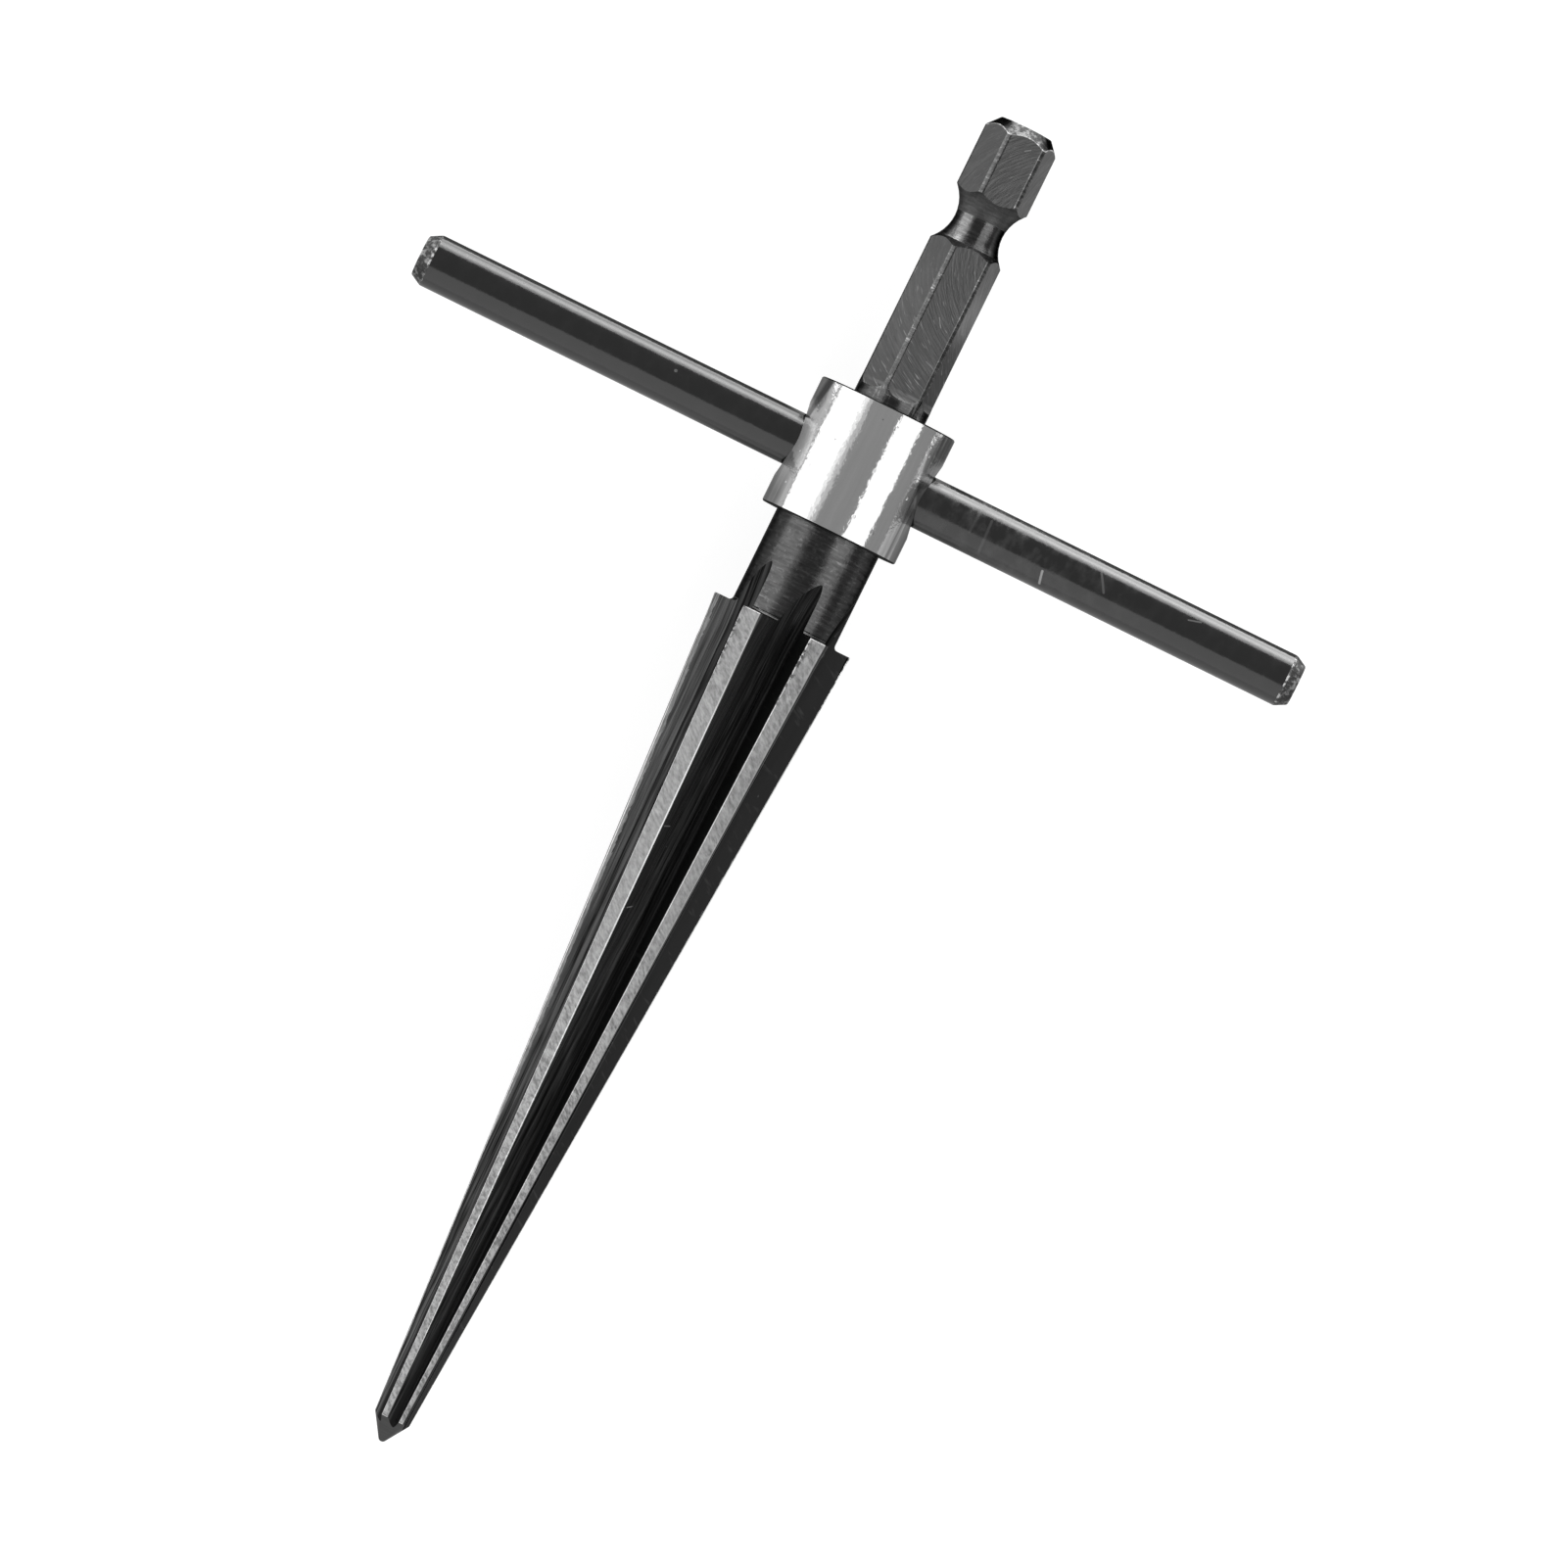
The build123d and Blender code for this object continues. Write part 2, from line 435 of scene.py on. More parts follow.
def ground_land(name, dark, light, roughness, metallic):
    """Bare ground steel with slanting grinding marks, which stand out most toward the point.

    It is chipped where a cutting edge nears the step. The bright grinding stops short of the
    heel edge behind a thin rubbed line, and by more on the land that is right of the front.
    """
    material, tree = start_material(name, metallic, 1.8)
    spot = use_group(tree, "round_the_tool")
    place, along = spot["Unrolled"], spot["Along"]
    coarse = marks(tree, place, spacing=0.32, length=1.1, turn=-48)
    fine = marks(tree, place, spacing=0.2, length=0.5, turn=-58)
    cloud = patches(tree, place, size=2.4, share=0.5, softness=0.3)
    swing = product(
        tree,
        minus(tree, grey_mix(tree, 0.4, coarse, fine), 0.5),
        ramp(tree, cloud, 0, 1, 0.6, 1.1),
        ramp(tree, along, -12.0, STEP, 1.2, 1.7),
        ramp(tree, along, -30.0, -10.0, 3.3, 1.4),
    )
    mark = maths(tree, "ADD", ramp(tree, along, -45.0, 0.0, 0.68, 0.47), swing, clamp=True)
    ground = grey_mix(tree, mark, dark, light)

    dots = patches(tree, place, size=0.36, share=0.5, softness=0.1)
    toward_point = ramp(tree, along, -15.0, -40.0, 0.0, 0.6)
    ground = grey_mix(tree, product(tree, dots, toward_point), ground, dark)

    past = use_group(tree, "on_the_taper")["Past edge"]
    left_width = ramp(tree, along, TAPER_START, 12.0, LEFT_LAND_AT_POINT, LEFT_LAND_AT_STEP)
    width = ramp(tree, spot["Angle"], 0.1, 0.3, left_width, RIGHT_LAND)
    over = minus(tree, past, width)
    rubbed_line = ramp(tree, over, radians(-1.6), radians(-0.5), 0.0, 0.6)
    unground = ramp(tree, over, 0.0, radians(0.5))
    ground = grey_mix(tree, rubbed_line, ground, light)
    ground = grey_mix(tree, unground, ground, 0.012)

    from_edge = product(tree, past, LAND_BIG_RADIUS)
    near_corner = product(
        tree, ramp(tree, from_edge, 0.0, 0.6, 1.0, 0.0), ramp(tree, along, 6.0, 13.0), 1.5
    )
    bites = patches(tree, place, size=0.5, share=0.5, softness=0.06)
    chipped = maths(tree, "MULTIPLY", near_corner, bites, clamp=True)
    ground = grey_mix(tree, chipped, ground, 0.05)
    sheen = ramp(tree, mark, 0, 1, roughness - 0.08, roughness + 0.08)
    return finished(material, ground, sheen, mark, depth=0.012)


def turned_black(name, dark, light, roughness, bare, left_light_gain=1.0, side_shade_share=1.0, depth=0.018):
    """Black oxide over turned steel: broken rings of two greys, and spots that are rubbed bare.

    The left light gain is how many times brighter it is on the tool's left, as painted light, and
    the side shade share is what is left of its brightness at the tool's sides, as painted shade.
    """
    material, tree = start_material(name, 1.0, 1.5, tint=0.35)
    spot = use_group(tree, "round_the_tool")
    place, angle = spot["Unrolled"], spot["Angle"]
    rings = marks(tree, place, spacing=0.3, length=2.2, turn=90)
    fine = marks(tree, place, spacing=0.12, length=1.2, turn=90)
    both = grey_mix(tree, 0.35, rings, fine)
    black = grey_mix(tree, ramp(tree, both, 0.3, 0.7), dark, light)
    flecks = marks(tree, place, spacing=0.3, length=1.8, turn=90, detail=1.0)
    black = grey_mix(tree, ramp(tree, flecks, 0.84, 0.98), black, bare)
    rubbed = patches(tree, place, size=0.35, share=0.4, softness=0.15)
    tone = grey_mix(tree, rubbed, black, grey_mix(tree, both, light, bare))
    # Painted light on the tool's left and painted shade at the tool's sides
    left_light = ramp(tree, angle, radians(-12), radians(-28), 1.0, left_light_gain)
    aside = maths(tree, "ABSOLUTE", angle)
    side_shade = ramp(tree, aside, radians(46), radians(56), 1.0, side_shade_share)
    tone = product(tree, tone, left_light, side_shade)
    sheen = ramp(tree, both, 0, 1, roughness - 0.05, roughness + 0.06)
    uneven = noise(tree, place, scale=2.6, detail=4.0, roughness=0.7)
    return finished(material, tone, sheen, total(tree, both, uneven), depth)


def flute_black(tree, dark, light, streak):
    """The flutes' black, with the cutter's streaks along them, and the level of the streaks.

    The streak is how far the noise swings from its middle between the dark and the light.
    """
    spot = use_group(tree, "round_the_tool")
    cell = use_group(tree, "on_the_taper")["Cell"]
    wide = marks(tree, cell, spacing=0.3, length=26.0)
    fine = marks(tree, cell, spacing=0.1, length=5.0)
    both = grey_mix(tree, 0.5, wide, fine)
    level = ramp(tree, both, 0.5 - streak, 0.5 + streak)
    by_point = ramp(tree, spot["Along"], -60.0, -35.0, 1.6, 1.0)
    black = product(tree, grey_mix(tree, level, dark, light), by_point)
    spots = specks(tree, spot["Unrolled"], spacing=2.4, size=0.24)
    return grey_mix(tree, spots, black, 0.16), level


def heel_face():
    """The heel faces of the flutes, one of them ground bare in a ragged strip behind its land."""
    material, tree = start_material("heel_face", 1.0, 1.5, tint=0.5)
    spot = use_group(tree, "round_the_tool")
    place, along, angle = spot["Unrolled"], spot["Along"], spot["Angle"]
    black, level = flute_black(tree, dark=0.03, light=0.1, streak=0.26)
    black = product(tree, black, ramp(tree, along, -45.0, -18.0, 1.8, 1.0))
    black = scratched(tree, place, black, HEEL_SCRATCHES)

    ragged = marks(tree, place, spacing=0.3, length=1.2)
    widened = ramp(tree, along, 10.0, -40.0, 0.0, 0.035)
    share = total(tree, use_group(tree, "on_the_taper")["Share"], widened)
    in_strip = maths(tree, "GREATER_THAN", share, ramp(tree, ragged, 0, 1, 0.93, 0.97))
    left_enough = maths(tree, "LESS_THAN", angle, radians(-60))
    high_enough = maths(tree, "GREATER_THAN", angle, radians(-96))
    here = product(tree, in_strip, left_enough, high_enough)
    tone = grey_mix(tree, here, black, grey_mix(tree, ragged, 0.12, 0.34))
    sheen = ramp(tree, here, 0, 1, ramp(tree, level, 0, 1, 0.32, 0.24), 0.45)
    return finished(material, tone, sheen, level, depth=0.004)


def flute_floor():
    """The floors of the flutes, streaked, with a line of painted shade where the heel face begins.

    The floor of the flute on the tool's left is brighter, most of all toward the point, as painted
    light, and the round roots are darkened as painted shade.
    """
    material, tree = start_material("flute_floor", 1.0, 1.5)
    spot = use_group(tree, "round_the_tool")
    across = use_group(tree, "on_the_taper")["Across"]
    black, level = flute_black(tree, dark=0.003, light=0.025, streak=0.2)
    # Painted light on the flute that lies on the tool's left
    left_light_gain = ramp(tree, spot["Along"], 10.0, -10.0, 1.3, 2.4)
    left_light = ramp(tree, spot["Angle"], radians(-30), radians(-38), 1.0, left_light_gain)
    # Painted shade along the corner where the floor meets the heel face
    off_line = maths(tree, "ABSOLUTE", minus(tree, across, FLOOR_REACH))
    corner_shade_line = ramp(tree, off_line, 0.06, 0.16, 0.85, 0.0)
    tone = grey_mix(tree, corner_shade_line, product(tree, black, left_light), 0.006)
    # Painted shade in the round roots
    root_shade = ramp(tree, across, ROOT_REACH + 0.4, ROOT_REACH)
    tone = grey_mix(tree, root_shade, tone, 0.012)
    return finished(material, tone, ramp(tree, level, 0, 1, 0.45, 0.25), level, depth=0.006)


def cutting_face():
    """The cutting faces, smooth and black, crossed by faint arcs and bare along their edges."""
    material, tree = start_material("cutting_face", 1.0, 1.5)
    place = use_group(tree, "round_the_tool")["Unrolled"]
    taper = use_group(tree, "on_the_taper")
    black, level = flute_black(tree, dark=0.058, light=0.085, streak=0.5)
    arcs = marks(tree, place, spacing=0.7, length=5.0, turn=-68)
    tone = grey_mix(tree, ramp(tree, arcs, 0.7, 1.0, 0.0, 0.5), black, 0.2)
    tone = grey_mix(tree, ramp(tree, taper["Across"], 0.26, 0.36), tone, 0.01)
    ragged = ramp(tree, marks(tree, place, spacing=0.3, length=1.6), 0.5, 0.9, 1.02, 0.965)
    on_edge = maths(tree, "GREATER_THAN", taper["Share"], ragged)
    tone = grey_mix(tree, on_edge, tone, 0.45)
    return finished(material, tone, ramp(tree, level, 0, 1, 0.36, 0.28), level, depth=0.003)


def milled_flat():
    """Black oxide over the hex flats, with the arcs that the milling cutter left."""
    material, tree = start_material("milled_flat", 0.0, 1.9)
    spot = use_group(tree, "round_the_tool")
    place, along = spot["Unrolled"], spot["Along"]
    turned = minus(tree, spot["Angle"], HEX_TURN - FLAT_PITCH / 2)
    from_middle = maths(tree, "FLOORED_MODULO", turned, FLAT_PITCH)
    from_middle = minus(tree, from_middle, FLAT_PITCH / 2)
    side = product(tree, maths(tree, "SINE", from_middle), spot["Radius"])
    off_side = minus(tree, side, CUTTER_ACROSS)
    off_along = minus(tree, along, CUTTER_ALONG)
    sweep = product(tree, maths(tree, "ARCTAN2", off_along, off_side), 9.0)
    flat_number = maths(tree, "FLOOR", maths(tree, "DIVIDE", turned, FLAT_PITCH))
    # Each flat's marks come from their own stretch of the noise.
    apart = product(tree, flat_number, 31.7)
    arcs = joined(tree, hypotenuse(tree, off_side, off_along), sweep, apart)

    coarse = marks(tree, arcs, spacing=0.42, length=2.4)
    fine = marks(tree, arcs, spacing=0.16, length=3.5)
    both = grey_mix(tree, 0.4, coarse, fine)
    cloud = patches(tree, place, size=3.5, share=0.5, softness=0.35)
    light = product(tree, ramp(tree, both, 0.4, 1.0), ramp(tree, cloud, 0, 1, 0.4, 1.0))
    dashes = marks(tree, arcs, spacing=0.2, length=1.1, detail=1.0)
    near_collar = ramp(tree, along, 54.0, 40.0, 0.25, 1.0)
    bright_dash = product(tree, ramp(tree, dashes, 0.8, 1.0), near_collar)
    dark_dash = product(tree, ramp(tree, dashes, 0.2, 0.0), near_collar)
    tone = grey_mix(tree, light, 0.003, 0.1)
    tone = grey_mix(tree, bright_dash, tone, 0.2)
    tone = grey_mix(tree, dark_dash, tone, 0.0)
    tone = scratched(tree, place, tone, FLAT_SCRATCHES)
    sheen = total(tree, ramp(tree, both, 0, 1, 0.42, 0.3), product(tree, dark_dash, 0.25))
    relief = total(tree, both, product(tree, dashes, 0.6))
    return finished(material, tone, sheen, relief, depth=0.016)


def bare_chamfer(name, dark, light, share=0.5, shade_the_sides=False):
    """Steel rubbed bare in small blotches, and on request darkened toward the tool's sides as
    painted shade.
    """
    metallic, tint = (1.0, 0.3) if shade_the_sides else (0.6, 1.0)
    material, tree = start_material(name, metallic, 1.9, tint)
    place = scaled(tree, object_place(tree), 1 / MM)
    mottle = patches(tree, place, size=0.55, share=share, softness=0.12)
    grain = patches(tree, place, size=0.2, share=0.5, softness=0.25)
    both = grey_mix(tree, 0.35, mottle, grain)
    tone = grey_mix(tree, both, dark, light)
    if shade_the_sides:
        # Painted shade: the tone falls toward the tool's sides
        off_middle = total(tree, use_group(tree, "round_the_tool")["Angle"], -0.12)
        aside = maths(tree, "ABSOLUTE", off_middle)
        tone = product(tree, tone, ramp(tree, aside, radians(25), radians(45), 1.0, 0.05))
    return finished(material, tone, ramp(tree, both, 0, 1, 0.5, 0.32), both, depth=0.02)


def ground_point():
    """Smooth dark ground finish of the point's cone."""
    material, tree = start_material("ground_point", 0.2, 1.86)
    place = use_group(tree, "round_the_tool")["Unrolled"]
    rings = marks(tree, place, spacing=0.16, length=4.0, turn=90)
    tone = grey_mix(tree, rings, 0.008, 0.03)
    return finished(material, tone, ramp(tree, rings, 0, 1, 0.3, 0.42), rings, depth=0.002)


def painted_shadow_streak(tree, spot, tone, side, bend, end, top_edge, bend_edge, swing, core, fade):
    """A tone with a painted streak of shade on one side of the collar, above the bar: the bar's
    shadow as a painted reflection.

    Its inner edge is at so many degrees at the collar's top and at the bend, and swings out
    from there to its end beside the hole. It is dark over its core and has faded out at fade.
    """
    along = spot["Along"]
    down_to_bend = ramp(tree, along, COLLAR_TOP, bend, top_edge, bend_edge)
    below_bend = ramp(tree, along, bend, end, 0, swing)
    turn = product(tree, spot["Angle"], side * degrees(1))
    past = minus(tree, turn, total(tree, down_to_bend, below_bend))
    streak = product(tree, ramp(tree, past, 0, 2.5), ramp(tree, past, core, fade, 0.75, 0.0))
    return grey_mix(tree, streak, tone, 0.08)


def bright_collar():
    """Polished bare steel, slightly uneven, with pits and faint lines, painted side shade and two
    painted shadow streaks.
    """
    material, tree = start_material("bright_collar", 0.87, 1.8)
    spot = use_group(tree, "round_the_tool")
    place, along, angle = spot["Unrolled"], spot["Along"], spot["Angle"]
    lines = marks(tree, place, spacing=0.6, length=9.0)
    pits = specks(tree, place, spacing=1.5, size=0.3)
    dots = specks(tree, place, spacing=0.8, size=0.17)
    tone = grey_mix(tree, ramp(tree, lines, 0.1, 0.9), 0.65, 0.7)
    # Painted shade darkens the collar's sides; beside the bar on its left it is mostly lifted, as
    # painted light
    aside = maths(tree, "ABSOLUTE", angle)
    painted_shading_by_bar = product(tree, ramp(tree, along, 26.5, 30.5), ramp(tree, angle, 0.1, -0.1))
    side_shade = product(
        tree,
        ramp(tree, aside, radians(47), radians(57)),
        ramp(tree, lines, 1.0, 0.45),
        ramp(tree, painted_shading_by_bar, 0, 1, 1.0, 0.15),
    )
    tone = grey_mix(tree, side_shade, tone, 0.24)
    tone = grey_mix(tree, dots, tone, 0.35)
    tone = grey_mix(tree, pits, tone, 0.8)
    right = {"bend": 32.6, "end": 29.2, "top_edge": 44, "bend_edge": 52.5, "swing": 23}
    left = {"bend": 33.9, "end": 33.2, "top_edge": 53, "bend_edge": 65, "swing": 30}
    # Two painted streaks of shade above the bar, a painted reflection of the bar's shadow
    tone = painted_shadow_streak(tree, spot, tone, side=1, core=7, fade=17, **right)
    tone = painted_shadow_streak(tree, spot, tone, side=-1, core=9, fade=15, **left)

    waves = noise(tree, place, scale=1.0, detail=2.0, roughness=0.5)
    grit = noise(tree, place, scale=2.8, detail=2.0, roughness=0.6)
    polish = ramp(tree, grit, 0.3, 0.7, 0.07, 0.12)
    sheen = ramp(tree, pits, 0, 1, polish, 0.4)
    relief = total(tree, waves, product(tree, grit, 0.5), product(tree, pits, -0.4))
    return finished(material, tone, sheen, relief, depth=0.021)


def painted_rim_shade():
    """Near black with faint turned rings: painted shade on the collar's chamfers and inside its
    holes.
    """
    material, tree = start_material("painted_rim_shade", 0.0, 1.1)
    place = use_group(tree, "round_the_tool")["Unrolled"]
    rings = marks(tree, place, spacing=0.2, length=3.0, turn=90)
    tone = grey_mix(tree, rings, 0.002, 0.02)
    return finished(material, tone, ramp(tree, rings, 0, 1, 0.34, 0.5))


def gloss_black():
    """Glossy black bar, smeared across where a hand has wiped it, with a few scratches."""
    material, tree = start_material("gloss_black", 0.0, 1.9)
    place = use_group(tree, "round_the_bar")["Unrolled"]
    along = split(tree, place)[0]
    wiped = between(tree, along, 5.0, 9.0, 19.0, 30.0)
    strokes = marks(tree, place, spacing=1.3, length=1.9, detail=4.0)
    smear = product(tree, ramp(tree, strokes, 0.4, 1.0), ramp(tree, wiped, 0, 1, 0.15, 1.0))
    tone = grey_mix(tree, smear, 0.002, 0.03)
    tone = grey_mix(tree, specks(tree, place, spacing=3.1, size=0.3), tone, 0.1)
    tone = scratched(tree, place, tone, BAR_SCRATCHES)

    cloud = patches(tree, place, size=2.2, share=0.5, softness=0.35)
    broken = between(tree, along, 5.0, 8.0, 12.0, 16.0)
    sheen = total(
        tree,
        ramp(tree, cloud, 0, 1, 0.14, 0.2),
        product(tree, smear, 0.18),
        product(tree, broken, cloud, 0.35),
    )
    uneven = noise(tree, place, scale=0.9, detail=4.0, roughness=0.65)
    relief = total(tree, uneven, product(tree, smear, 0.5))
    return finished(material, tone, sheen, relief, depth=0.018)


def only_select(piece):
    """Selects one piece alone and makes it the active one."""
    bpy.ops.object.select_all(action="DESELECT")
    piece.select_set(True)
    bpy.context.view_layer.objects.active = piece


def merged_copy(node, name):
    """A copy of a CAD node with its triangles joined and its flat faces whole, to be finished."""
    piece = frame["nodes"][node].copy()
    piece.data = frame["nodes"][node].data.copy()
    piece.name = piece.data.name = name
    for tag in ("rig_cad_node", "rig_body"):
        if tag in piece:
            del piece[tag]
    piece.parent = None
    piece.matrix_world = Matrix.Identity(4)
    bpy.context.scene.collection.objects.link(piece)
    only_select(piece)
    bpy.ops.mesh.customdata_custom_splitnormals_clear()
    bpy.ops.object.mode_set(mode="EDIT")
    bpy.ops.mesh.select_all(action="SELECT")
    bpy.ops.mesh.remove_doubles(threshold=0.001 * MM)
    bpy.ops.mesh.dissolve_limited(angle_limit=radians(0.15))
    bpy.ops.object.mode_set(mode="OBJECT")
    piece.data.materials.clear()
    return piece


def round_edges(piece, weight_of, width_mm, material_slot):
    """Rounds the edges that weight_of gives a weight, and gives the rounds a material slot."""
    mesh = bmesh.new()
    mesh.from_mesh(piece.data)
    floats = mesh.edges.layers.float
    weights = floats.get("bevel_weight_edge") or floats.new("bevel_weight_edge")
    for edge in mesh.edges:
        edge[weights] = weight_of(edge) if len(edge.link_faces) == 2 else 0.0
    mesh.to_mesh(piece.data)
    mesh.free()
    only_select(piece)
    bevel = piece.modifiers.new("soft_edges", "BEVEL")
    bevel.limit_method = "WEIGHT"
    bevel.width = width_mm * MM
    bevel.segments = 2
    bevel.use_clamp_overlap = False
    bevel.material = material_slot
    bpy.ops.object.modifier_apply(modifier=bevel.name)


def smooth_each_finish(piece):
    """Smooth shading inside each finish, with a crease where one finish meets another."""
    only_select(piece)
    bpy.ops.object.shade_smooth_by_angle(angle=radians(32))
    mesh = bmesh.new()
    mesh.from_mesh(piece.data)
    for edge in mesh.edges:
        if len({face.material_index for face in edge.link_faces}) > 1:
            edge.smooth = False
    mesh.to_mesh(piece.data)
    mesh.free()
    normals = piece.modifiers.new("even_normals", "WEIGHTED_NORMAL")
    normals.keep_sharp = True
    bpy.ops.object.modifier_apply(modifier=normals.name)


def flute_side(angle, normal):
    """Whether a face of a flute is its cutting face, its floor or its heel face.

    What tells them apart is how far past the next cutting edge they look, in degrees.
    """
    face_ends, floor_ends = -70, 11
    next_edge = FIRST_EDGE + FLUTE_PITCH * ceil((angle - FIRST_EDGE) / FLUTE_PITCH)
    lean = (degrees(atan2(normal.x, normal.z) - next_edge) + 180) % 360 - 180
    return "face" if lean < face_ends else "floor" if lean < floor_ends else "heel"


def shank_region(along, radius, angle, normal):
    """Which finish a face of the shank has: chamfer, groove, flat, corner or turned neck."""
    if along > CHAMFER_START and normal.y > 0.3:
        return "chamfer"
    off_ring = hypot(radius - GROOVE_RING_RADIUS, along - GROOVE_PLACE) - GROOVE_TOOL_RADIUS
    if abs(off_ring) < 0.05:
        at_bottom = -0.17 < normal.y < 0.5
        toward_point = normal.y < 0
        return "groove" if at_bottom else "groove_side" if toward_point else "groove_rim"
    from_middle = (angle - HEX_TURN + FLAT_PITCH / 2) % FLAT_PITCH - FLAT_PITCH / 2
    if abs(normal.y) < 0.02 and abs(radius * cos(from_middle) - FLAT_DISTANCE) < 0.02:
        return "flat"
    if along > FLATS_START and radius > SHANK_RADIUS - 0.06:
        return "corner"
    return "neck" if along < FLATS_START else "flat"


def body_region(centre, normal):
    """Which finish a face of the body has, from where it lies and which way it looks."""
    x, along, z = centre.x / MM, centre.y / MM, centre.z / MM - AXIS_HEIGHT
    radius, angle = hypot(x, z), atan2(x, z)
    outward = (normal.x * x + normal.z * z) / max(radius, 0.001)
    if along < TAPER_START + 0.02 and normal.y < -0.4:
        return "point"
    if along < STEP - 0.01:
        on_land = outward > 0.97 and radius > 0.95 * land_radius(along)
        return "land" if on_land else flute_side(angle, normal)
    if along < COLLAR_LOW:
        turned = radius > NECK_RADIUS - 0.03 and outward > 0.99 and abs(normal.y) < 0.02
        by_step = normal.y > 0.9 or (along < STEP + 0.45 and radius > NECK_RADIUS + 0.01)
        return "neck" if turned or by_step else flute_side(angle, normal)
    return "neck" if along < COLLAR_TOP else shank_region(along, radius, angle, normal)


def kinds_beside(edge):
    """The finishes of the faces on both sides of an edge of the body."""
    return {body_region(face.calc_center_median(), face.normal) for face in edge.link_faces}


def land_edge_weight(edge):
    """How much the lands' edges are worn round: least at the point, where the lands are narrow."""
    first_worn = TAPER_START - 0.4
    along = edge.verts[0].co.y / MM
    if edge.calc_face_angle(0.0) < radians(20) or along < first_worn:
        return 0.0
    kinds = kinds_beside(edge)
    if "land" in kinds and len(kinds) > 1:
        return 0.25 + 0.75 * (along - first_worn) / (STEP - first_worn)
    return 0.0


def rim_edge_weight(edge):
    """How much the edges round the shank's end are rounded."""
    sharp = edge.calc_face_angle(0.0) > radians(20)
    return 1.0 if sharp and "chamfer" in kinds_beside(edge) else 0.0


def hex_edge_weight(edge):
    """How much the edges beside the hex's corners are rounded."""
    if not radians(20) < edge.calc_face_angle(0.0) < radians(40):
        return 0.0
    return 1.0 if kinds_beside(edge) == {"flat", "corner"} else 0.0


def bar_edge_weight(edge):
    """How much the bar's edges are worn round, which are only those of its chamfers."""
    return 1.0 if edge.calc_face_angle(0.0) > radians(22) else 0.0


def finished_body():
    """The one-piece reamer body with its finishes and its worn edges."""
    body = merged_copy("reamer_body", "reamer_finished")
    finishes = {
        "land": ground_land("ground_land", dark=0.13, light=0.44, roughness=0.5, metallic=0.45),
        # The land edges' rounds are worn bare and also painted far brighter than the lands, as a
        # painted highlight
        "edge": ground_land("worn_edge_highlight", dark=0.55, light=0.95, roughness=0.42, metallic=0.15),
        "heel": heel_face(),
        "floor": flute_floor(),
        "face": cutting_face(),
        "neck": turned_black(
            "turned_black",
            dark=0.062,
            light=0.1,
            roughness=0.22,
            bare=0.16,
            side_shade_share=0.8,
            depth=0.009,
        ),
        "flat": milled_flat(),
        "corner": turned_black("rubbed_corner", dark=0.09, light=0.16, roughness=0.24, bare=0.4),
        "groove": turned_black(
            "polished_groove",
            dark=0.07,
            light=0.11,
            roughness=0.15,
            bare=0.15,
            left_light_gain=2.0,
            side_shade_share=0.25,
        ),
        "groove_side": turned_black("dull_groove", dark=0.07, light=0.1, roughness=0.45, bare=0.11),
        # Painted shade: the groove's flank toward the shank's end gets darker greys than its other
        # flank
        "groove_rim": turned_black("shaded_groove_rim", dark=0.015, light=0.03, roughness=0.45, bare=0.1),
        "chamfer": bare_chamfer("rubbed_chamfer", dark=0.09, light=0.3, share=0.65, shade_the_sides=True),
        "point": ground_point(),
        "rim": bare_chamfer("worn_rim", dark=0.2, light=0.85, share=0.6),
    }
    order = list(finishes)
    for finish in finishes.values():
        body.data.materials.append(finish)
    for face in body.data.polygons:
        face.material_index = order.index(body_region(face.center, face.normal))
    round_edges(body, land_edge_weight, width_mm=0.08, material_slot=order.index("edge"))
    round_edges(body, hex_edge_weight, width_mm=0.06, material_slot=order.index("corner"))
    round_edges(body, rim_edge_weight, width_mm=0.056, material_slot=order.index("rim"))
    smooth_each_finish(body)
    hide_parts("reamer_body")
    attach(body, "root")


def finished_bar():
    """The cross bar, with rubbed chamfers and a worn line round each."""
    bar = merged_copy("handle_bar", "bar_finished")
    black, rubbed_end, worn_line = range(3)
    bar.data.materials.append(gloss_black())
    bar.data.materials.append(bare_chamfer("rubbed_bar_end", dark=0.015, light=0.3))
    bar.data.materials.append(bare_chamfer("worn_line", dark=0.03, light=0.75, share=0.55))
    for face in bar.data.polygons:
        at_end = abs(face.center.x) > BAR_CHAMFER_START * MM
        face.material_index = rubbed_end if at_end else black
    round_edges(bar, bar_edge_weight, width_mm=0.1, material_slot=worn_line)
    smooth_each_finish(bar)
    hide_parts("handle_bar")
    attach(bar, "root")


def finished_collar():
    """The bright collar, with painted shade on its rims, its countersinks and inside its holes."""
    collar = merged_copy("collar", "collar_finished")
    # Painted shade: the rims, countersinks and holes are near black
    bright, rim_shade = range(2)
    collar.data.materials.append(bright_collar())
    collar.data.materials.append(painted_rim_shade())
    for face in collar.data.polygons:
        x, z = face.center.x / MM, face.center.z / MM - AXIS_HEIGHT
        radius = hypot(x, z)
        outward = (face.normal.x * x + face.normal.z * z) / max(radius, 0.001)
        on_outside = outward > 0.985 and radius > 0.97 * COLLAR_RADIUS
        face.material_index = bright if on_outside else rim_shade
    only_select(collar)
    bpy.ops.object.shade_smooth_by_angle(angle=radians(20))
    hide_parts("collar")
    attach(collar, "root")


def soft_panel(name, glow, width, length, place, turn):
    """A soft panel of a glow, which the camera doesn't see. Its sizes and place are in metres."""
    data = bpy.data.lights.new(name, "AREA")
    data.shape = "RECTANGLE"
    data.size, data.size_y = width, length
    data.energy = glow * pi * width * length
    panel = bpy.data.objects.new(name, data)
    panel.matrix_world = Matrix.Translation(place) @ turn.to_4x4()
    panel.visible_camera = False
    bpy.context.scene.collection.objects.link(panel)
    return panel


